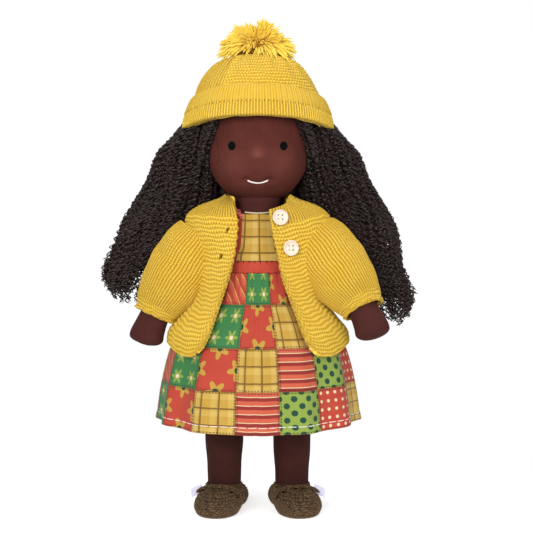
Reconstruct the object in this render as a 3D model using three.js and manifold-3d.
// A stuffed cloth doll in a gathered dress, a knitted cardigan and a bobble hat.
// Millimetres, +Z up. The doll faces -Y, so its own left side is +X.

import * as THREE from 'three';
import { mergeVertices } from 'three/addons/utils/BufferGeometryUtils.js';
import Module from 'manifold-3d';

const wasm = await Module();
wasm.setup();

// Clearances and thicknesses
const GAP = 0.35; // between two pieces that touch
const JERSEY = 1.4; // skin fabric with its first layer of wool
const COTTON = 1.2; // woven dress fabric
const KNIT = 3.0; // cardigan and hat knit

// Shoes and legs
const SOLE_THICKNESS = 3.6;
const SHOE_LENGTH = 64;
const SHOE_WIDTH = 34;
const SHOE_WALL = 2.6;
const SHOE_HEIGHT = 18;
const HEEL_BACK = 25; // heel behind the leg's centre line
const TOES_OUT = 12; // degrees
const STRAP_WIDTH = 7;
const STRAP_THICKNESS = 2;
const STRAP_AHEAD = 14; // back edge of the strap ahead of the leg's centre line
const STRAP_ROOT_DROP = 3.5; // strap's root below the shoe's top
const TAB_LENGTH = 9;
const TAB_THICKNESS = 1.4;
const LEG_SPACING = 49.4;
const HIP_HEIGHT = 100;
const THIGH_RADIUS = 13.8;
const ANKLE_RADIUS = 12.2;

// Body
const TORSO_HEIGHT = 98;
const HIP_HALF_WIDTH = 34;
const CHEST_HALF_WIDTH = 31;
const TORSO_DEPTH = 48;
const NECK_RADIUS = 16.3;
const NECK_HEIGHT = 14.5; // free neck between the shoulders and the chin
const NECK_IN_HEAD = 8;
const HEAD_NOD = 10; // degrees that the head tips forward and back
const NOD_CLEARANCE = 1.4; // between the collar and the head as it tips

// Arms
const SHOULDER_SPACING = 68;
const SHOULDER_DROP = 13; // shoulder seam below the torso's top
const SOCKET_CLEARANCE = 1.5; // room for the arm's root to turn
const ARM_RADIUS = 10.2;
const HAND_RADIUS = 12.2;
const ARM_REACH = [0, 21, 37, 45, 48]; // sideways from the shoulder, down to the hand
const ARM_FALL = [0, 29, 51, 68, 78.5];
const ARM_RAISE = 65; // degrees that the shoulder seam lets the arm lift
const LEFT_ARM_FORWARD = 27; // degrees
const RIGHT_ARM_FORWARD = 5;

// Head and face
const HEAD_HEIGHT = 87;
const HEAD_HALF_WIDTH = 35.6;
const HEAD_FRONT = 33;
const HEAD_BACK = 35;
const EYE_SPACING = 36.4;
const EYE_RISE = 37; // above the chin
const EYE_WIDTH = 5.2;
const EYE_HEIGHT = 6.4;
const MOUTH_WIDTH = 15;
const MOUTH_RISE = 13;
const MOUTH_SMILE = 3; // how far the middle hangs below the ends
const MOUTH_THREAD = 0.9;

// Hair
const HAIR_CAP_THICKNESS = 5;
const HAIR_CAP_TUCK = 14; // hair cap outside the hat starts this far below the cuff
const HAIR_TUCK = 6; // curls end this far above the cuff, inside the hat's line
const HAIR_THICKNESS = 20; // of the curls that hang behind the back
const HAIR_SPREAD = 107; // outermost curls from the middle
const HAIR_LENGTH_LEFT = 98.5; // from the chin's height down to the tips
const HAIR_LENGTH_RIGHT = 80.5;
const HAIR_LENGTH_BACK = 86.5;

// Hat
const HAT_TILT = 8; // degrees, down at the back
const CUFF_HALF_WIDTH = 54.5;
const CUFF_HALF_DEPTH = 49;
const CUFF_HEIGHT = 23;
const CUFF_THICKNESS = 4;
const HAT_CENTRE_BACK = 4;
const CUFF_RISE = 48; // cuff's lower edge above the chin, at the middle of the head
const CROWN_HEIGHT = 54; // crown's top above the cuff's lower edge
const POMPOM_RADIUS = 28;
const POMPOM_HEIGHT = 29;
const POMPOM_DROOP = 5; // strands hanging below the crown's top
const TIE_RADIUS = 4;
const TIE_HEIGHT = 2.4;

// Dress
const WAIST_RISE = 60; // waistband's lower edge above the torso's underside
const WAISTBAND_HEIGHT = 8;
const SKIRT_LENGTH = 112; // from the waistband's lower edge to the hem
const HEM_HALF_WIDTH = 75;
const HEM_HALF_DEPTH = 50;
const WAIST_FULLNESS = 2; // gathers standing out from the waistband
const FOLD_COUNT = 12;
const FOLD_DEPTH = 4.5;
const HEM_SIDE_RISE = 4; // hem at the sides above the hem in front
const NECKLINE_DIP = 3.8;
const NECKLINE_HALF_WIDTH = 20;
const STRAP_HALF_WIDTH = 26;
const BINDING = 1.6;

// Cardigan
const CARDIGAN_LENGTH = 104; // from the neck edge to the hem
const CARDIGAN_HEM_HALF_WIDTH = 66;
const CARDIGAN_HEM_HALF_DEPTH = 47;
const CARDIGAN_SIDE_HALF_WIDTH = 45.5;
const CARDIGAN_CHEST_DEPTH = 32;
const COLLAR_HALF_WIDTH = 25;
const COLLAR_HALF_DEPTH = 23;
const COLLAR_RISE = 16; // neck edge above the torso's top
const FRONT_TIP_DROP = 8; // front corners below the hem
const SLEEVE_RADIUS = 22;
const SLEEVE_CUFF_RADIUS = 14.9;
const BUTTON_RADIUS = 5.7;
const BUTTON_THICKNESS = 2.4;
const BUTTON_HOLE_RADIUS = 0.75;
const BUTTON_HOLE_SPACING = 2.8;
const BUTTON_SHANK = 1;
const SHANK_RADIUS = 2.2;
const BUTTONHOLE_RADIUS = 1.4;
const BUTTONHOLE_OUTSET = 5; // how much farther out than the buttons

const TAU = Math.PI * 2;
const UP = new THREE.Vector3(0, 0, 1);
const HEAD_SIDES = 20;
const HEAD_ROWS = 11;

// Heights that follow from the sizes above
const torsoBottom = HIP_HEIGHT + THIGH_RADIUS + GAP;
const torsoTop = torsoBottom + TORSO_HEIGHT;
const shoulder = new THREE.Vector3(SHOULDER_SPACING / 2, 0, torsoTop - SHOULDER_DROP);
const chin = torsoTop + NECK_HEIGHT;
const headTop = chin + HEAD_HEIGHT;
const waist = torsoBottom + WAIST_RISE;
const cuffBottom = chin + CUFF_RISE;
const collar = torsoTop + COLLAR_RISE;
const skirtHem = waist - SKIRT_LENGTH;
const cardiganHem = collar - CARDIGAN_LENGTH;

// Smooth value between the rows of a profile: each row is [position, value, value, ...].
function profileAt(rows, position) {
  const last = rows.length - 1;
  const at = Math.min(Math.max(position, rows[0][0]), rows[last][0]);
  let i = 0;
  while (i < last - 1 && at > rows[i + 1][0]) i += 1;
  const [a, b] = [rows[i], rows[i + 1]];
  const [before, after] = [rows[Math.max(i - 1, 0)], rows[Math.min(i + 2, last)]];
  const t = (at - a[0]) / (b[0] - a[0]);
  const [t2, t3] = [t * t, t * t * t];
  return a.slice(1).map((valueA, k) => {
    const valueB = b[k + 1];
    const slopeA = ((valueB - before[k + 1]) / (b[0] - before[0])) * (b[0] - a[0]);
    const slopeB = ((after[k + 1] - valueA) / (after[0] - a[0])) * (b[0] - a[0]);
    return (2 * t3 - 3 * t2 + 1) * valueA + (t3 - 2 * t2 + t) * slopeA
      + (3 * t2 - 2 * t3) * valueB + (t3 - t2) * slopeB;
  });
}

function steps(from, to, count) {
  return Array.from({ length: count + 1 }, (_, i) => from + ((to - from) * i) / count);
}

// A level loop of points round a body part: half width, front depth and back depth.
function levelRing(z, halfWidth, front, back, sides, { x = 0, y = 0, grow = 0, square = 1, start = 0 } = {}) {
  return Array.from({ length: sides }, (_, i) => {
    const angle = start + (TAU * i) / sides;
    const [c, s] = [Math.cos(angle), Math.sin(angle)];
    const across = Math.max(halfWidth + grow, 0.2);
    const deep = Math.max((s < 0 ? front : back) + grow, 0.2);
    const bow = (v) => Math.sign(v) * Math.abs(v) ** square;
    return new THREE.Vector3(x + across * bow(c), y + deep * bow(s), z);
  });
}

// Triangles over a row of loops. Wrapped loops close on themselves and need no caps.
function loft(rings, wrapped = false) {
  const sides = rings[0].length;
  const points = rings.flat();
  const faces = [];
  const rows = wrapped ? rings.length : rings.length - 1;
  for (let r = 0; r < rows; r += 1) {
    const low = r * sides;
    const high = ((r + 1) % rings.length) * sides;
    for (let i = 0; i < sides; i += 1) {
      const j = (i + 1) % sides;
      faces.push([low + i, low + j, high + j], [low + i, high + j, high + i]);
    }
  }
  if (!wrapped) {
    const centre = (ring) => ring.reduce((sum, p) => sum.add(p), new THREE.Vector3()).divideScalar(sides);
    const first = points.push(centre(rings[0])) - 1;
    const last = points.push(centre(rings[rings.length - 1])) - 1;
    const top = (rings.length - 1) * sides;
    for (let i = 0; i < sides; i += 1) {
      const j = (i + 1) % sides;
      faces.push([first, j, i], [last, top + i, top + j]);
    }
  }
  let volume = 0;
  for (const [a, b, c] of faces) {
    volume += points[a].dot(new THREE.Vector3().crossVectors(points[b], points[c]));
  }
  const turned = volume < 0 ? faces.map(([a, b, c]) => [a, c, b]) : faces;
  return solidOf(points.flatMap((p) => [p.x, p.y, p.z]), turned.flat());
}

function solidOf(positions, index) {
  return new wasm.Manifold(new wasm.Mesh({
    numProp: 3,
    vertProperties: new Float32Array(positions),
    triVerts: new Uint32Array(index),
  }));
}

// A three.js geometry as a solid that can be cut and joined.
function solidFrom(geometry, matrix = new THREE.Matrix4()) {
  const bare = geometry.clone().applyMatrix4(matrix);
  bare.deleteAttribute('normal');
  bare.deleteAttribute('uv');
  const merged = mergeVertices(bare, 1e-4);
  const index = Array.from(merged.index.array);
  if (matrix.determinant() < 0) {
    for (let i = 0; i < index.length; i += 3) [index[i], index[i + 1]] = [index[i + 1], index[i]];
  }
  return solidOf(Array.from(merged.attributes.position.array), index);
}

// The largest body of a solid: a cut can leave slivers beside it.
function mainBody(solid) {
  return solid.decompose().reduce((best, part) => (part.volume() > best.volume() ? part : best));
}

function geometryOf(solid) {
  const { vertProperties, triVerts } = mainBody(solid).getMesh();
  const geometry = new THREE.BufferGeometry();
  geometry.setAttribute('position', new THREE.BufferAttribute(new Float32Array(vertProperties), 3));
  geometry.setIndex(new THREE.BufferAttribute(new Uint32Array(triVerts), 1));
  geometry.computeVertexNormals();
  return geometry;
}

// A solid turned about a line across the doll through a point, in degrees; positive tips it backwards.
function solidTurned(solid, pivot, angle) {
  const { x, y, z } = pivot;
  return solid.translate([-x, -y, -z]).rotate([-angle, 0, 0]).translate([x, y, z]);
}

const cut = (solid, ...tools) => tools.reduce((left, tool) => left.subtract(tool), solid);
const moved = (x, y, z) => new THREE.Matrix4().makeTranslation(x, y, z);
const ball = (centre, radius, detail = 10) => solidFrom(
  new THREE.SphereGeometry(radius, detail, Math.round(detail * 0.6)),
  moved(centre.x, centre.y, centre.z),
);
const block = (x0, x1, y0, y1, z0, z1) => solidFrom(
  new THREE.BoxGeometry(x1 - x0, y1 - y0, z1 - z0),
  moved((x0 + x1) / 2, (y0 + y1) / 2, (z0 + z1) / 2),
);
const FAR = 400;
const above = (z) => block(-FAR, FAR, -FAR, FAR, z, FAR * 2);
const below = (z) => block(-FAR, FAR, -FAR, FAR, -FAR, z);

// A level round bar or hole.
function pillar(x, y, z0, z1, radius, sides = 16) {
  const bar = new THREE.CylinderGeometry(radius, radius, z1 - z0, sides);
  return solidFrom(bar, moved(x, y, (z0 + z1) / 2).multiply(new THREE.Matrix4().makeRotationX(Math.PI / 2)));
}

// A round-nosed tube that follows points, with a radius profile from 0 to 1 along it.
function limb(points, radii, sides, stepCount, { grow = 0, flat = 1, from = 0, to = 1, start = 0 } = {}) {
  const curve = new THREE.CatmullRomCurve3(points, false, 'centripetal');
  const rings = steps(from, to, stepCount).map((t) => {
    const at = curve.getPoint(Math.min(Math.max(t, 0), 1));
    const along = curve.getTangent(Math.min(Math.max(t, 0), 1));
    if (t < 0) at.addScaledVector(along, t * curve.getLength());
    const side = new THREE.Vector3(0, 1, 0).cross(along).normalize();
    const deep = along.clone().cross(side).normalize();
    const radius = Math.max(profileAt(radii, t)[0] + grow, 0.25);
    return Array.from({ length: sides }, (_, i) => {
      const angle = start + (TAU * i) / sides;
      return at.clone()
        .addScaledVector(side, radius * Math.cos(angle))
        .addScaledVector(deep, radius * flat * Math.sin(angle));
    });
  });
  return loft(rings);
}

// Torso
const torsoRows = [
  [0, 0.62, 0.56], [0.04, 0.82, 0.76], [0.12, 0.97, 0.92], [0.3, 1, 1], [0.52, 0.95, 0.97],
  [0.72, 0.93, 0.9], [0.88, 0.93, 0.82], [0.95, 0.82, 0.72], [0.985, 0.66, 0.62], [1, 0.5, 0.5],
];

function torsoRing(z, sides, grow = 0) {
  const t = (z - torsoBottom) / TORSO_HEIGHT;
  const [across, deep] = profileAt(torsoRows, t);
  const hip = HIP_HALF_WIDTH * (1 - Math.min(Math.max(t * 1.4, 0), 1));
  const chest = (CHEST_HALF_WIDTH / 0.93) * Math.min(Math.max(t * 1.4, 0), 1);
  const half = (TORSO_DEPTH / 2) * deep;
  return levelRing(z, (hip + chest) * across, half, half, sides, { grow });
}

function torsoSolid(sides, count, grow = 0, top = torsoTop) {
  return loft(steps(torsoBottom - grow, top, count).map((z) => torsoRing(z, sides, grow)));
}

const neckPivot = new THREE.Vector3(0, 0, torsoTop + 0.5);

function neckSolid(grow = 0) {
  const radius = NECK_RADIUS + grow;
  const profile = [new THREE.Vector2(0, neckPivot.z - radius)];
  for (const angle of steps(-75, 0, 4)) {
    const turn = THREE.MathUtils.degToRad(angle);
    profile.push(new THREE.Vector2(radius * Math.cos(turn), neckPivot.z + radius * Math.sin(turn)));
  }
  const neckTop = chin + NECK_IN_HEAD + grow;
  profile.push(new THREE.Vector2(radius, neckTop - 2), new THREE.Vector2(radius - 2, neckTop));
  profile.push(new THREE.Vector2(0, neckTop));
  const lathe = new THREE.LatheGeometry(profile, 20);
  return solidFrom(lathe, new THREE.Matrix4().makeRotationX(Math.PI / 2));
}

// Arms
function armPoints(side, forward) {
  const turn = THREE.MathUtils.degToRad(forward);
  return ARM_REACH.map((reach, i) => new THREE.Vector3(
    side * (shoulder.x + reach),
    -ARM_FALL[i] * Math.sin(turn),
    shoulder.z - ARM_FALL[i] * Math.cos(turn),
  ));
}

const armRadii = [
  [0, ARM_RADIUS * 0.55], [0.06, ARM_RADIUS * 0.93], [0.16, ARM_RADIUS], [0.5, ARM_RADIUS * 1.02],
  [0.72, ARM_RADIUS * 1.03], [0.86, HAND_RADIUS], [0.95, HAND_RADIUS * 0.8], [1, HAND_RADIUS * 0.3],
];

// Sleeves run along the arm from the armhole to just above the hand.
const SLEEVE_END = 0.6;
const sleeveRadii = [
  [0, SLEEVE_RADIUS], [0.18, SLEEVE_RADIUS * 1.05], [0.35, SLEEVE_RADIUS * 0.98],
  [0.5, SLEEVE_CUFF_RADIUS * 1.18], [SLEEVE_END, SLEEVE_CUFF_RADIUS], [1, SLEEVE_CUFF_RADIUS],
];
// How far a sleeve's middle line lies up and out from the arm's, from the shoulder to the hand
const SLEEVE_LIFT = [4, 2.6, 0.8, 0, 0];

function sleevePoints(side, forward) {
  return armPoints(side, forward).map((point, i) => (
    point.add(new THREE.Vector3(side * SLEEVE_LIFT[i] * 0.8, 0, SLEEVE_LIFT[i] * 0.6))
  ));
}

const armholeX = CARDIGAN_SIDE_HALF_WIDTH + 0.6;

function outside(side, x) {
  return side > 0 ? block(x, FAR, -FAR, FAR, -FAR, FAR * 2) : block(-FAR, -x, -FAR, FAR, -FAR, FAR * 2);
}

function sleeveSolid(side, forward, grow = 0, end = SLEEVE_END) {
  const tube = limb(sleevePoints(side, forward), sleeveRadii, 16, 6, { grow, flat: 0.92, from: 0.02, to: end });
  return tube.intersect(outside(side, armholeX - Math.max(grow, 0)));
}

// Head
const headRows = [
  [0, 0.22, 0.2], [0.025, 0.44, 0.42], [0.08, 0.68, 0.66], [0.17, 0.885, 0.86], [0.27, 0.985, 0.96],
  [0.36, 1, 1], [0.5, 0.98, 1], [0.66, 0.95, 0.98], [0.8, 0.82, 0.86], [0.91, 0.6, 0.64],
  [0.975, 0.32, 0.34], [1, 0.1, 0.1],
];

function headSize(z, grow = 0) {
  const [across, deep] = profileAt(headRows, (z - chin) / HEAD_HEIGHT);
  return [HEAD_HALF_WIDTH * across + grow, HEAD_FRONT * deep + grow, HEAD_BACK * deep + grow];
}

function headSolid(sides, count, grow = 0) {
  const levels = steps(0, 1, count).map((t) => (1 - Math.cos(Math.PI * t)) / 2);
  return loft(levels.map((t) => {
    const z = chin - grow + (HEAD_HEIGHT + 2 * grow) * t;
    const [across, front, back] = headSize(chin + HEAD_HEIGHT * t);
    return levelRing(z, across, front, back, sides, { grow });
  }));
}

// The face's surface in front of a point given by its place across and its height.
function faceY(x, z) {
  const [across, front] = headSize(z);
  return -front * Math.sqrt(Math.max(1 - (x / across) ** 2, 0));
}

// Legs and shoes
function legPoints(side) {
  return { x: (side * LEG_SPACING) / 2, out: THREE.MathUtils.degToRad(TOES_OUT) * side };
}

const shoeRows = [
  [0, 0.3], [0.05, 0.62], [0.16, 0.84], [0.35, 0.82], [0.6, 0.95], [0.78, 1], [0.92, 0.78], [1, 0.3],
];

// The sole's outline, from the heel to the toe, as a row of half widths.
function shoeOutline(side, grow) {
  const { x, out } = legPoints(side);
  const count = 8;
  const line = [];
  const place = (along, aside) => {
    const d = -HEEL_BACK - grow + (SHOE_LENGTH + 2 * grow) * along;
    return new THREE.Vector2(
      x + d * Math.sin(out) + aside * Math.cos(out),
      -(d * Math.cos(out) - aside * Math.sin(out)),
    );
  };
  const half = (t) => (SHOE_WIDTH / 2 + grow) * profileAt(shoeRows, t)[0];
  for (const t of steps(0, 1, count)) line.push(place(t, half(t)));
  for (const t of steps(1, 0, count)) line.push(place(t, -half(t)));
  return line;
}

function shoeRing(side, z, grow) {
  return shoeOutline(side, grow).map((p) => new THREE.Vector3(p.x, p.y, z));
}

// Outer form of the shoe above its sole; the foot inside is the same form, smaller.
function shoeForm(side, grow) {
  const low = SOLE_THICKNESS + GAP - Math.min(grow, 0);
  const high = SHOE_HEIGHT + grow;
  const rows = [[0, -0.4], [0.2, 0], [0.5, -0.4], [0.75, -2.6], [0.92, -7], [1, -11]];
  const ringAt = (t) => shoeRing(side, low + (high - low) * t, grow + profileAt(rows, t)[0]);
  return loft(steps(0, 1, 5).map(ringAt));
}

function legTube(side, sides, count, grow = 0, top = 1) {
  const x = (side * LEG_SPACING) / 2;
  const foot = SOLE_THICKNESS + 5;
  const height = HIP_HEIGHT + THIGH_RADIUS - foot;
  const round = (t) => {
    const drop = (1 - t) * height;
    if (drop < THIGH_RADIUS) return Math.sqrt(Math.max(THIGH_RADIUS ** 2 - (THIGH_RADIUS - drop) ** 2, 0.3));
    const along = Math.min((drop - THIGH_RADIUS) / (height * 0.75), 1);
    return THIGH_RADIUS + (ANKLE_RADIUS - THIGH_RADIUS) * along;
  };
  const dome = [1, 0.995, 0.98, 0.955, 0.92, 1 - THIGH_RADIUS / height].map((t) => Math.min(t, top));
  const levels = [...steps(0, 1 - THIGH_RADIUS / height, count), ...dome.reverse().slice(1)];
  const rings = [...new Set(levels)].sort((a, b) => a - b).map((t) => {
    const radius = round(t);
    return levelRing(foot + height * t + (t > 0.9 ? grow : 0), radius, radius, radius, sides, { x, grow });
  });
  return loft(rings);
}

function legSolid(side, grow = 0, sides = 14, count = 4) {
  return legTube(side, sides, count, grow).add(shoeForm(side, grow - SHOE_WALL - GAP));
}

// Cardigan body
const cardiganRows = () => {
  const side = CARDIGAN_SIDE_HALF_WIDTH;
  const hem = cardiganHem;
  const rise = collar - hem;
  const [deepHem, deepChest] = [CARDIGAN_HEM_HALF_DEPTH, CARDIGAN_CHEST_DEPTH];
  return [
    [hem - FRONT_TIP_DROP - 1, CARDIGAN_HEM_HALF_WIDTH, deepHem],
    [hem + rise * 0.06, CARDIGAN_HEM_HALF_WIDTH * 0.985, deepHem * 0.98],
    [hem + rise * 0.16, side + (CARDIGAN_HEM_HALF_WIDTH - side) * 0.56, deepHem * 0.93],
    [hem + rise * 0.29, side + 1.5, deepHem * 0.86],
    [hem + rise * 0.46, side - 0.5, deepHem * 0.78],
    [hem + rise * 0.62, side + 1, deepChest * 1.07],
    [hem + rise * 0.76, side + 7, deepChest],
    [hem + rise * 0.86, side + 9, deepChest * 0.95],
    [hem + rise * 0.93, COLLAR_HALF_WIDTH + 20, COLLAR_HALF_DEPTH + 5],
    [collar, COLLAR_HALF_WIDTH + 1.5, COLLAR_HALF_DEPTH],
  ];
};

const CARDIGAN_BOW = 0.9; // below 1 squares the section a little

function cardiganRing(z, sides, grow) {
  const [across, deep] = profileAt(cardiganRows(), z);
  return levelRing(z, across, deep, deep, sides, { grow, square: CARDIGAN_BOW });
}

function cardiganY(x, z) {
  const [across, deep] = profileAt(cardiganRows(), z);
  const c = Math.min(Math.abs(x) / across, 1) ** (1 / CARDIGAN_BOW);
  return -deep * Math.sqrt(Math.max(1 - c * c, 0)) ** CARDIGAN_BOW;
}

function cardiganShell() {
  const low = cardiganHem - FRONT_TIP_DROP - 1;
  const levels = steps(low, collar, 9);
  const outer = levels.map((z) => cardiganRing(z, 28, 0));
  const inner = levels.map((z) => cardiganRing(z, 28, -KNIT)).reverse();
  return loft([...outer, ...inner], true);
}

// A flat outline in the front view, extruded from y0 to y1.
function frontPrism(points, y0, y1) {
  const shape = new THREE.Shape(points.map(([x, z]) => new THREE.Vector2(x, z)));
  const solid = new THREE.ExtrudeGeometry(shape, { depth: y1 - y0, bevelEnabled: false });
  const stand = new THREE.Matrix4().makeRotationX(Math.PI / 2);
  return solidFrom(solid, moved(0, y1, 0).multiply(stand));
}

// The front edge of one cardigan front, from the neck down to its corner and along the hem.
function frontOutline(side) {
  const hem = cardiganHem;
  const left = [[10, collar - 12], [11, collar - 22], [15, collar - 45], [21, hem + 32], [29, hem + 6]];
  const right = [[16, collar - 12], [14, collar - 30], [19, collar - 50], [27, hem + 28], [34, hem + 8]];
  const edge = [[24, collar + 2], ...(side > 0 ? left : right)];
  const corner = [[40, hem - FRONT_TIP_DROP + 3], [47, hem - FRONT_TIP_DROP], [56, hem - 3], [62, hem]];
  const flank = [[CARDIGAN_HEM_HALF_WIDTH + 10, hem], [CARDIGAN_HEM_HALF_WIDTH + 10, collar + 2]];
  return [...edge, ...corner, ...flank].map(([x, z]) => [side * x, z]);
}

// Skirt: narrow under the cardigan, then it falls away. Rows: share of the length, share of the flare
const flareRows = [[0, 0], [0.18, 0.16], [0.3, 0.42], [0.5, 0.72], [0.75, 0.9], [1, 1]];

function skirtRing(z, sides, inset) {
  const t = (waist - GAP - z) / (waist - GAP - skirtHem);
  const [flare] = profileAt(flareRows, t);
  const [acrossTop, deepTop] = [torsoRing(waist, 4)[0].x, torsoRing(waist, 4)[1].y];
  const low = COTTON + GAP + WAIST_FULLNESS;
  const across = acrossTop + low + (HEM_HALF_WIDTH - acrossTop - low) * flare;
  const deep = deepTop + low + (HEM_HALF_DEPTH - deepTop - low) * flare;
  return Array.from({ length: sides }, (_, i) => {
    const angle = (TAU * i) / sides;
    const wave = FOLD_DEPTH * (0.25 + 0.75 * t) * (Math.cos(angle * FOLD_COUNT + 0.6) - 1) * 0.5;
    const lift = t * t * HEM_SIDE_RISE * Math.abs(Math.cos(angle)) ** 3;
    const reach = 1 + (wave - inset) / Math.max(across, deep);
    return new THREE.Vector3(across * reach * Math.cos(angle), deep * reach * Math.sin(angle), z + lift);
  });
}

function skirtSolid() {
  const levels = steps(skirtHem, waist - GAP, 5);
  const outer = levels.map((z) => skirtRing(z, FOLD_COUNT * 4, 0));
  const inner = levels.map((z) => skirtRing(z, FOLD_COUNT * 4, COTTON * 1.4)).reverse();
  return loft([...outer, ...inner], true);
}

// Hat, made upright round its own middle and then tipped back
const hatFrame = moved(0, HAT_CENTRE_BACK, cuffBottom)
  .multiply(new THREE.Matrix4().makeRotationX(THREE.MathUtils.degToRad(-HAT_TILT)));
const crownRows = [
  [0, 0.915], [0.2, 0.885], [0.37, 0.835], [0.46, 0.8], [0.57, 0.75], [0.69, 0.69], [0.8, 0.625],
  [0.9, 0.53], [0.965, 0.39], [0.99, 0.24], [1, 0.05],
];

function crownRing(t, grow) {
  const share = profileAt(crownRows, t)[0];
  const z = CROWN_HEIGHT * t + (t > 0.8 ? grow : 0);
  const [across, deep] = [CUFF_HALF_WIDTH * share, CUFF_HALF_DEPTH * share];
  return levelRing(z, across, deep, deep, 22, { grow, start: 0.04 }).map((p) => p.applyMatrix4(hatFrame));
}

// The crown as a closed form, from a share of its height below or above the cuff's lower edge.
function crownSolid(grow = 0, from = 0) {
  return loft([from, ...steps(0, 1, 8).slice(1).map((t) => t ** 0.85)].map((t) => crownRing(t, grow)));
}

const crownShell = () => cut(crownSolid(), crownSolid(-KNIT, -0.3));

function cuffShell() {
  const low = [[0.5, 0.6], [-0.3, 2], [-1.2, CUFF_HEIGHT * 0.4]];
  const turnUp = [...low, [-4, CUFF_HEIGHT * 0.8], [-6.4, CUFF_HEIGHT]];
  const under = 0.4;
  const ringAt = (z, grow) => levelRing(z, CUFF_HALF_WIDTH, CUFF_HALF_DEPTH, CUFF_HALF_DEPTH, 20, { grow })
    .map((p) => p.applyMatrix4(hatFrame));
  const outer = turnUp.map(([grow, z]) => ringAt(z, grow));
  const inner = turnUp.map(([grow, z]) => ringAt(z - under, grow - CUFF_THICKNESS - 2)).reverse();
  return cut(loft([...outer, ...inner], true), crownSolid(GAP));
}

const pompomBase = new THREE.Vector3(0, 0, CROWN_HEIGHT).applyMatrix4(hatFrame);

function tieSolid(grow = 0) {
  const { x, y, z } = pompomBase;
  return pillar(x, y, z - 4, z + TIE_HEIGHT + grow, TIE_RADIUS + grow, 14);
}

function pompomSolid() {
  const rows = [
    [0, 0.82], [0.1, 0.97], [0.24, 1], [0.45, 0.93], [0.65, 0.77], [0.83, 0.53], [0.95, 0.27], [1, 0.08],
  ];
  const tufts = 8;
  const rings = steps(0, 1, 8).map((t, row) => {
    const share = profileAt(rows, t)[0];
    return Array.from({ length: 24 }, (_, i) => {
      const angle = (TAU * i) / 24;
      const tuft = 1 + 0.07 * Math.cos(angle * tufts + row * 1.7) * Math.min(1, 4 * t * (1 - t) + 0.3);
      return new THREE.Vector3(
        pompomBase.x + POMPOM_RADIUS * share * tuft * Math.cos(angle),
        pompomBase.y + POMPOM_RADIUS * 0.92 * share * tuft * Math.sin(angle),
        pompomBase.z - POMPOM_DROOP + (POMPOM_HEIGHT + POMPOM_DROOP) * t,
      );
    });
  });
  return cut(loft(rings), crownSolid(GAP), tieSolid(GAP));
}

// Hair
const lowerHead = chin + HEAD_HEIGHT * 0.28;

function hairCapSolid() {
  const cap = headSolid(16, 7, HAIR_CAP_THICKNESS);
  const far = 2 * HEAD_HALF_WIDTH;
  const line = [[-far, cuffBottom + 6], [-20, cuffBottom + 3], [2, lowerHead - 2], [far, chin + 8]];
  const hairline = [...line, [far, headTop + far], [-far, headTop + far]];
  const shape = new THREE.Shape(hairline.map(([y, z]) => new THREE.Vector2(y, z)));
  const prism = new THREE.ExtrudeGeometry(shape, { depth: 2 * far, bevelEnabled: false });
  const stand = new THREE.Matrix4().makeBasis(
    new THREE.Vector3(0, 1, 0),
    new THREE.Vector3(0, 0, 1),
    new THREE.Vector3(1, 0, 0),
  );
  const region = solidFrom(prism, moved(-far, 0, 0).multiply(stand));
  return cut(cap.intersect(region), headSolid(16, 8, GAP + 1.2));
}

// A mass of curls beside the head: middle, reach and depth at heights down to its tips.
function hairSide(side, end) {
  const top = cuffBottom + CUFF_HEIGHT * 0.55;
  const spread = HAIR_SPREAD;
  const hang = HAIR_THICKNESS / 2;
  const rows = [
    [end, spread * 0.88, 10, 27, 6], [end + 12, spread * 0.86, 17, 27, 9],
    [end + 26, spread * 0.8, 26, 27, hang], [end + 52, spread * 0.7, 30, 26, hang + 1],
    [torsoTop - 4, spread * 0.62, 30, 21, hang + 3], [chin + 14, spread * 0.53, 26, 13, hang + 7],
    [chin + 32, spread * 0.46, 22, 9, hang + 10], [cuffBottom - 2, spread * 0.42, 14, 8, hang + 10],
    [top, spread * 0.38, 8, 6, hang + 6],
  ];
  const rings = steps(end, top, 10).map((z, row) => {
    const [middle, reach, y, deep] = profileAt(rows, z);
    return Array.from({ length: 14 }, (_, i) => {
      const angle = (TAU * i) / 14;
      const curl = 1 + 0.06 * Math.cos(angle * 5 + row * 2.1);
      const across = middle + reach * curl * Math.cos(angle);
      return new THREE.Vector3(side * across, y + deep * curl * Math.sin(angle), z);
    });
  });
  return loft(rings);
}

function hairBackSolid(grow = 0) {
  const end = chin - HAIR_LENGTH_BACK;
  const top = cuffBottom + 4;
  const hang = HAIR_THICKNESS / 2;
  const rows = [
    [end, 40, 44, 7], [end + 14, 54, 44, hang], [torsoTop - 20, 56, 43, hang + 2],
    [torsoTop + 6, 52, 34, hang + 4], [chin + 24, 42, 29, hang + 4], [top, 38, 31, hang],
  ];
  const rings = steps(end, top, 8).map((z, row) => {
    const [across, y, deep] = profileAt(rows, z);
    return Array.from({ length: 18 }, (_, i) => {
      const angle = (TAU * i) / 18;
      const curl = 1 + 0.05 * Math.cos(angle * 6 + row * 1.9);
      return new THREE.Vector3(
        (across * curl + grow) * Math.cos(angle),
        y + (deep * curl + grow) * Math.sin(angle),
        z,
      );
    });
  });
  return loft(rings);
}

// Finishes
const finish = (color, roughness = 0.9) => new THREE.MeshStandardMaterial({ color, roughness, metalness: 0 });
const skin = finish(0x5a2c28);
const wool = finish(0xe9e2d2);
const hair = finish(0x241a1b);
const yellowKnit = finish(0xf2c433);
const patchwork = finish(0xd9803a);
const redBand = finish(0xd9483a);
const whiteThread = finish(0xf2efe8);
const crochet = finish(0x5a4128);
const tabFabric = finish(0xd6d2ea);
const eyeFinish = finish(0x0c0a0a, 0.35);
const buttonFinish = finish(0xe6d2bd, 0.45);

const doll = new THREE.Group();

function add(name, solid, material) {
  const mesh = new THREE.Mesh(geometryOf(solid), material);
  mesh.name = name;
  doll.add(mesh);
  return mesh;
}

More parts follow.
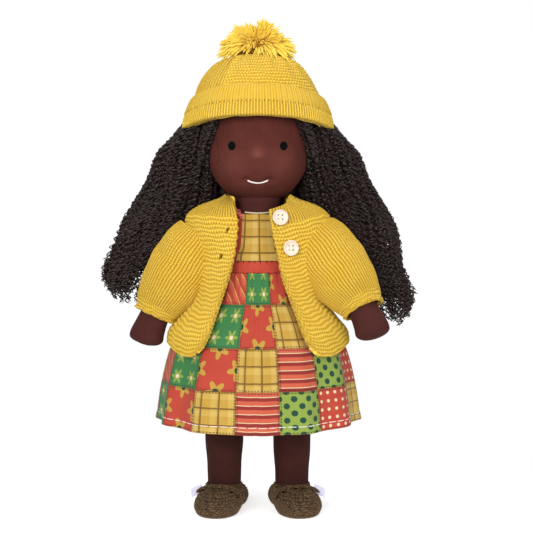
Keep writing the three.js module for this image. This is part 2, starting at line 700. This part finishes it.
const arms = [
  { name: 'left', side: 1, forward: LEFT_ARM_FORWARD },
  { name: 'right', side: -1, forward: RIGHT_ARM_FORWARD },
];

// Stuffed body: each skin is open where the next piece is sewn on, and holds a wool core
function shrunk(solid, gap = GAP * 1.5) {
  const { min, max } = solid.boundingBox();
  const middle = min.map((low, i) => (low + max[i]) / 2);
  const scale = min.map((low, i) => 1 - (2 * gap) / (max[i] - low));
  return solid.translate(middle.map((v) => -v)).scale(scale).translate(middle);
}

function stuffed(name, outer, filling, opening, core = shrunk(filling)) {
  add(`${name}_skin`, cut(outer, filling, opening), skin);
  add(`${name}_stuffing`, core, wool);
}

const armOuter = (arm, grow = 0) => limb(armPoints(arm.side, arm.forward), armRadii, 14, 10, { grow });
const shoulderOf = (arm) => new THREE.Vector3(arm.side * shoulder.x, 0, shoulder.z);
const armSockets = (grow) => arms.flatMap((arm) => [
  ball(shoulderOf(arm), ARM_RADIUS + SOCKET_CLEARANCE + grow),
  armOuter(arm, grow),
]);
const torsoFilling = cut(torsoSolid(12, 6, -JERSEY), neckSolid(JERSEY), ...armSockets(JERSEY));
const neckOpening = pillar(0, 0, torsoTop - 30, torsoTop + 9, NECK_RADIUS * 0.55, 12);
const neckClear = neckSolid(JERSEY + 3 * GAP);
const torsoOuter = cut(torsoSolid(18, 9), neckSolid(GAP), ...armSockets(GAP));
stuffed('torso', torsoOuter, torsoFilling, neckOpening, cut(shrunk(torsoFilling), neckClear));
add('neck', neckSolid(), skin);

const headFilling = cut(headSolid(12, 7, -JERSEY), neckSolid(JERSEY));
const neckHole = pillar(0, 0, chin, chin + NECK_IN_HEAD + 12, NECK_RADIUS * 0.55, 12);
const headOuter = cut(headSolid(HEAD_SIDES, HEAD_ROWS), neckSolid(GAP));
stuffed('head', headOuter, headFilling, neckHole, cut(shrunk(headFilling), neckClear));

for (const arm of arms) {
  const inside = (grow, from, to, start = 0.1) => limb(armPoints(arm.side, arm.forward), armRadii, 9, 9, {
    grow,
    from,
    to,
    start,
  });
  const [filling, core] = [inside(-JERSEY, 0.03, 0.9), inside(-JERSEY - 2 * GAP, 0.035, 0.89)];
  stuffed(`${arm.name}_arm`, armOuter(arm), filling, inside(-3 * JERSEY, -0.12, 0.27, 0.3), core);
}

// Hips: the short gusset that both legs are sewn to
const gussetHalf = LEG_SPACING / 2 - THIGH_RADIUS - GAP;
const gusset = new THREE.CylinderGeometry(THIGH_RADIUS, THIGH_RADIUS, 2 * gussetHalf, 24);
const acrossHips = moved(0, 0, HIP_HEIGHT).multiply(new THREE.Matrix4().makeRotationZ(Math.PI / 2));
add('hip_gusset', solidFrom(gusset, acrossHips), skin);

for (const arm of arms) {
  const x = (arm.side * LEG_SPACING) / 2;
  const mouth = pillar(x, 0, HIP_HEIGHT, HIP_HEIGHT + THIGH_RADIUS + 2, THIGH_RADIUS * 0.4, 9);
  stuffed(`${arm.name}_leg`, legSolid(arm.side), legTube(arm.side, 9, 4, -JERSEY), mouth);
}

// Face
for (const arm of arms) {
  const x = (arm.side * EYE_SPACING) / 2;
  const z = chin + EYE_RISE;
  const bead = new THREE.SphereGeometry(1, 12, 7);
  const size = new THREE.Matrix4().makeScale(EYE_WIDTH / 2, 1.6, EYE_HEIGHT / 2);
  const eye = solidFrom(bead, moved(x, faceY(x, z), z).multiply(size));
  add(`${arm.name}_eye`, cut(eye, headSolid(HEAD_SIDES, HEAD_ROWS, GAP * 0.6)), eyeFinish);
}

const mouthPoints = steps(-1, 1, 8).map((t) => {
  const x = (t * MOUTH_WIDTH) / 2;
  const z = chin + MOUTH_RISE - MOUTH_SMILE * (1 - t * t);
  return new THREE.Vector3(x, faceY(x, z) - MOUTH_THREAD / 2 - GAP, z);
});
const circleShape = (radius, x = 0, y = 0) => new THREE.Shape().absarc(x, y, radius, 0, TAU, false);
const mouthTube = new THREE.ExtrudeGeometry(circleShape(MOUTH_THREAD / 2), {
  steps: 8,
  curveSegments: 3,
  bevelEnabled: false,
  extrudePath: new THREE.CatmullRomCurve3(mouthPoints),
});
add('mouth_thread', cut(solidFrom(mouthTube), headSolid(HEAD_SIDES, HEAD_ROWS, GAP * 0.6)), whiteThread);

// Dress
const bodiceLow = waist + WAISTBAND_HEIGHT + GAP;
const bodiceHigh = torsoTop + NECK_HEIGHT * 0.5;

function dressShell(low, high, inset, thickness, sides, count) {
  const levels = steps(low, high, count);
  const section = (z, grow) => torsoRing(Math.min(z, torsoBottom + TORSO_HEIGHT * 0.9), sides, grow);
  const ringAt = (z, grow) => section(z, grow).map((p) => p.setZ(z));
  const outer = levels.map((z) => ringAt(z, inset + thickness));
  const inner = levels.map((z) => ringAt(z, inset)).reverse();
  return loft([...outer, ...inner], true);
}

// A front or back bodice panel: wide at the waist, cut away at the armholes and the neck.
function bodicePanel(sign) {
  const side = CHEST_HALF_WIDTH + 6;
  const armhole = torsoTop - SHOULDER_DROP - ARM_RADIUS - 3;
  const neckDip = sign < 0 ? NECKLINE_DIP : 3;
  const [strap, neck] = [STRAP_HALF_WIDTH, NECKLINE_HALF_WIDTH];
  const [low, high] = [bodiceLow - 1, bodiceHigh + 2];
  const edge = [[side, low], [side, armhole - 4], [strap, armhole + 4], [strap - 3, high]];
  const dip = [[neck - 3, high], [neck - 5, bodiceHigh - neckDip * 0.6], [8, bodiceHigh - neckDip]];
  const half = [...edge, ...dip];
  const outline = [...half, ...half.map(([x, z]) => [-x, z]).reverse()];
  const [y0, y1] = sign < 0 ? [-60, -GAP / 2] : [GAP / 2, 60];
  return dressShell(bodiceLow, bodiceHigh, GAP, COTTON, 26, 4).intersect(frontPrism(outline, y0, y1));
}

const strapClear = neckSolid(2.2);
add('dress_bodice_front', cut(bodicePanel(-1), strapClear, ...armSockets(GAP)), patchwork);
add('dress_bodice_back', cut(bodicePanel(1), strapClear, ...armSockets(GAP)), patchwork);
const band = dressShell(waist, waist + WAISTBAND_HEIGHT, GAP, COTTON * 1.6, 28, 1);
add('dress_waistband', cut(band, ...armSockets(GAP)), redBand);
add('dress_skirt', skirtSolid(), patchwork);

// Neck binding: a narrow folded edge that stands on the bodice's front neckline
const bindingPoints = steps(-1, 1, 10).map((t) => {
  const x = t * 8;
  const z = bodiceHigh - NECKLINE_DIP + BINDING;
  return new THREE.Vector3(x, torsoRing(torsoBottom + TORSO_HEIGHT * 0.9, 4, GAP + COTTON / 2)[3].y
    * Math.sqrt(1 - (x / CHEST_HALF_WIDTH) ** 2), z);
});
const bindingTube = new THREE.ExtrudeGeometry(circleShape(BINDING / 2), {
  steps: 8,
  curveSegments: 3,
  bevelEnabled: false,
  extrudePath: new THREE.CatmullRomCurve3(bindingPoints),
});
const bodiceClear = bodicePanel(-1).add(bodicePanel(-1).translate([0, 0, GAP]));
add('neck_binding', cut(solidFrom(bindingTube), bodiceClear), whiteThread);

const buttonPlaces = [
  { name: 'upper', x: COLLAR_HALF_WIDTH - 9.5, z: collar - 15 },
  { name: 'lower', x: COLLAR_HALF_WIDTH - 2.5, z: collar - 36 },
];

// Cardigan. The space that an arm sweeps as it is raised is kept out of the armholes
function armSweep(arm) {
  const radius = ARM_RADIUS + SOCKET_CLEARANCE;
  const rest = Math.atan2(ARM_FALL[2], ARM_REACH[2]);
  const raised = rest - THREE.MathUtils.degToRad(ARM_RAISE);
  const reach = 36;
  const at = (angle, out, aside) => [
    arm.side * (shoulder.x + out * Math.cos(angle) + aside * Math.sin(angle)),
    shoulder.z - out * Math.sin(angle) + aside * Math.cos(angle),
  ];
  const lowEdge = [at(rest, 0, -radius), at(rest, reach, -radius)];
  const fan = steps(rest, raised, 4).map((angle) => at(angle, reach + radius, 0));
  const highEdge = [at(raised, reach, radius), at(raised, 0, radius)];
  const lean = reach * Math.sin(THREE.MathUtils.degToRad(arm.forward));
  return frontPrism([...lowEdge, ...fan, ...highEdge], -radius - lean, radius);
}

const shell = cardiganShell();
const sleeveRoom = arms.flatMap((arm) => [
  sleeveSolid(arm.side, arm.forward, GAP, SLEEVE_END + 0.03),
  armSweep(arm),
]);
const bodiceRoom = dressShell(bodiceLow - WAISTBAND_HEIGHT, bodiceHigh, 0, COTTON + 2 * GAP, 24, 4);
const neckRoom = neckSolid(GAP);
// The space that the head sweeps as it nods is kept out of the collar
const noddingHead = headSolid(16, 8, NOD_CLEARANCE);
const nodRoom = [-HEAD_NOD, HEAD_NOD].map((angle) => solidTurned(noddingHead, neckPivot, angle));
const hemRegion = above(cardiganHem);
const backRegion = block(-FAR, FAR, GAP / 2, FAR, -FAR, FAR * 2);
const bodyRooms = [...sleeveRoom, bodiceRoom, neckRoom, ...nodRoom];
add('cardigan_back', cut(shell.intersect(backRegion).intersect(hemRegion), ...bodyRooms), yellowKnit);
for (const arm of arms) {
  const front = shell.intersect(frontPrism(frontOutline(arm.side), -FAR, -GAP / 2));
  const holes = arm.side > 0 ? [] : buttonPlaces.map(({ x, z }) => {
    const eyelet = new THREE.CylinderGeometry(BUTTONHOLE_RADIUS, BUTTONHOLE_RADIUS, 60, 8);
    return solidFrom(eyelet, moved(-x - BUTTONHOLE_OUTSET, -30, z));
  });
  add(`cardigan_${arm.name}_front`, cut(front, ...bodyRooms, ...holes), yellowKnit);
}
for (const arm of arms) {
  const outer = sleeveSolid(arm.side, arm.forward);
  const bore = limb(sleevePoints(arm.side, arm.forward), sleeveRadii, 14, 6, {
    grow: -KNIT,
    flat: 0.92,
    from: 0,
    to: SLEEVE_END + 0.06,
  });
  add(`${arm.name}_sleeve`, cut(outer, bore, armOuter(arm, GAP)), yellowKnit);
}

// Buttons on the doll's left front, each on a thread shank
function buttonFrame(x, z) {
  const step = 2;
  const slopeX = (cardiganY(x + step, z) - cardiganY(x - step, z)) / (2 * step);
  const slopeZ = (cardiganY(x, z + step) - cardiganY(x, z - step)) / (2 * step);
  const outward = new THREE.Vector3(slopeX, -1, slopeZ).normalize();
  const turn = new THREE.Quaternion().setFromUnitVectors(new THREE.Vector3(0, 1, 0), outward);
  const place = new THREE.Vector3(x, cardiganY(x, z), z);
  return new THREE.Matrix4().compose(place, turn, new THREE.Vector3(1, 1, 1));
}

for (const place of buttonPlaces) {
  const frame = buttonFrame(place.x, place.z);
  const [r, t] = [BUTTON_RADIUS, BUTTON_THICKNESS];
  const rim = [[0, 0], [r * 0.85, 0], [r, t * 0.5], [r * 0.88, t], [r * 0.66, t * 0.65], [0, t * 0.65]];
  const disc = new THREE.LatheGeometry(rim.map(([x, y]) => new THREE.Vector2(x, y + BUTTON_SHANK)), 16);
  const holes = [[1, 1], [1, -1], [-1, 1], [-1, -1]].map(([sx, sz]) => {
    const hole = new THREE.CylinderGeometry(BUTTON_HOLE_RADIUS, BUTTON_HOLE_RADIUS, 12, 6);
    const place = moved((sx * BUTTON_HOLE_SPACING) / 2, 0, (sz * BUTTON_HOLE_SPACING) / 2);
    return solidFrom(hole, frame.clone().multiply(place));
  });
  const button = solidFrom(disc, frame);
  const shankLength = BUTTON_SHANK + 3;
  const shank = new THREE.CylinderGeometry(SHANK_RADIUS, SHANK_RADIUS, shankLength, 10);
  const sunk = moved(0, BUTTON_SHANK - GAP - shankLength / 2, 0);
  const shankSolid = solidFrom(shank, frame.clone().multiply(sunk));
  add(`${place.name}_button`, cut(button, shell, ...holes), buttonFinish);
  add(`${place.name}_button_shank`, cut(shankSolid, shell, shell.translate([0, -GAP, 0])), yellowKnit);
}

// Hair
const hatRoom = crownSolid(-KNIT - GAP, -0.3);
function cuffRing(z, grow) {
  const ring = levelRing(z, CUFF_HALF_WIDTH, CUFF_HALF_DEPTH, CUFF_HALF_DEPTH, 22, { grow, start: 0.1 });
  return ring.map((p) => p.applyMatrix4(hatFrame));
}
const cuffRoom = loft([cuffRing(0.1, 2), cuffRing(CUFF_HEIGHT + 1, 1)]);
const hatClear = cut(crownSolid(GAP, -0.02).add(cuffRoom), hatRoom);
const overHat = above(cuffBottom + CUFF_HEIGHT + HAIR_TUCK);
const cap = hairCapSolid();
const capRoom = headSolid(16, 7, HAIR_CAP_THICKNESS + GAP);
const bodyRoom = loft(steps(cardiganHem - 2, collar, 8).map((z) => cardiganRing(z, 20, GAP + 1.2)));
const faceRoom = block(-HEAD_HALF_WIDTH * 0.97, HEAD_HALF_WIDTH * 0.97, -FAR, 0, 0, FAR);
const curlGap = GAP + 0.5;
const armRoom = arms.flatMap((arm) => [sleeveSolid(arm.side, arm.forward, curlGap), armOuter(arm, curlGap)]);
const hairBack = cut(hairBackSolid(), capRoom, bodyRoom, hatClear, neckSolid(GAP + 1), ...armRoom, overHat);
add('hair_cap', cut(cap.intersect(hatRoom.add(below(cuffBottom - HAIR_CAP_TUCK))), neckSolid(GAP)), hair);
add('hair_back', hairBack, hair);
for (const arm of arms) {
  const end = chin - (arm.side > 0 ? HAIR_LENGTH_LEFT : HAIR_LENGTH_RIGHT);
  const rough = cut(hairSide(arm.side, end), capRoom, bodyRoom, hatClear, faceRoom, ...armRoom, overHat);
  add(`${arm.name}_hair`, cut(rough, hairBackSolid(1)), hair);
}

// Hat
add('hat_crown', crownShell(), yellowKnit);
add('hat_cuff', cuffShell(), yellowKnit);
add('pompom', pompomSolid(), yellowKnit);
add('pompom_tie', cut(tieSolid(), crownSolid(GAP)), yellowKnit);

// Shoes: a crocheted sole and upper, and a strap that opens at its outer end
function shoeFrame(side) {
  const { x, out } = legPoints(side);
  const outward = new THREE.Vector3(Math.cos(out), Math.sin(out), 0).multiplyScalar(side);
  const toe = new THREE.Vector3(Math.sin(out), -Math.cos(out), 0);
  return moved(x, 0, 0).multiply(new THREE.Matrix4().makeBasis(outward, toe, UP));
}

// A cross-section of the shoe (outward, up) drawn through the foot from one distance ahead to another.
function acrossShoe(side, points, from, to) {
  const shape = new THREE.Shape(points.map(([u, z]) => new THREE.Vector2(u, z)));
  const solid = new THREE.ExtrudeGeometry(shape, { depth: to - from, bevelEnabled: false });
  const stand = new THREE.Matrix4().makeBasis(
    new THREE.Vector3(1, 0, 0),
    new THREE.Vector3(0, 0, 1),
    new THREE.Vector3(0, 1, 0),
  );
  return solidFrom(solid, shoeFrame(side).multiply(moved(0, from, 0)).multiply(stand));
}

for (const arm of arms) {
  const { side } = arm;
  const sole = new THREE.ExtrudeGeometry(new THREE.Shape(shoeOutline(side, 0)), {
    depth: SOLE_THICKNESS,
    bevelEnabled: false,
  });
  add(`${arm.name}_shoe_sole`, solidFrom(sole), crochet);
  const foot = legSolid(side, GAP);
  const ankle = ANKLE_RADIUS + 1.2;
  const mouth = pillar((side * LEG_SPACING) / 2, 0, SOLE_THICKNESS + 6, SHOE_HEIGHT + 20, ankle, 14);
  add(`${arm.name}_shoe_upper`, cut(shoeForm(side, 0), foot, mouth), crochet);

  const reach = SHOE_WIDTH;
  const root = SHOE_HEIGHT - STRAP_ROOT_DROP;
  const tip = root - 1.5;
  const ends = [[-reach, root], [0, root], [0, tip], [reach, tip]];
  const section = [...ends, [reach, 2 * reach], [-reach, 2 * reach]];
  const [from, to] = [STRAP_AHEAD, STRAP_AHEAD + STRAP_WIDTH];
  const band = shoeForm(side, GAP + STRAP_THICKNESS).intersect(acrossShoe(side, section, from, to));
  const strap = cut(band, shoeForm(side, GAP), foot);
  add(`${arm.name}_shoe_strap`, strap, crochet);

  const start = SHOE_WIDTH / 2 - 1;
  const low = tip + 1;
  const end = start + TAB_LENGTH;
  const tab = [[start, low], [end, low + 2], [end, low + 2 + TAB_THICKNESS], [start, low + TAB_THICKNESS]];
  const plate = acrossShoe(side, tab, from + 0.5, to - 0.5);
  const clear = shoeForm(side, 2 * GAP + STRAP_THICKNESS);
  add(`${arm.name}_shoe_tab`, cut(plate, clear), tabFabric);
}

// The origin is under the middle of the doll's box, on the floor
const box = new THREE.Box3().setFromObject(doll);
const middle = box.getCenter(new THREE.Vector3());
doll.position.set(-middle.x, -middle.y, -box.min.z);

export default doll;
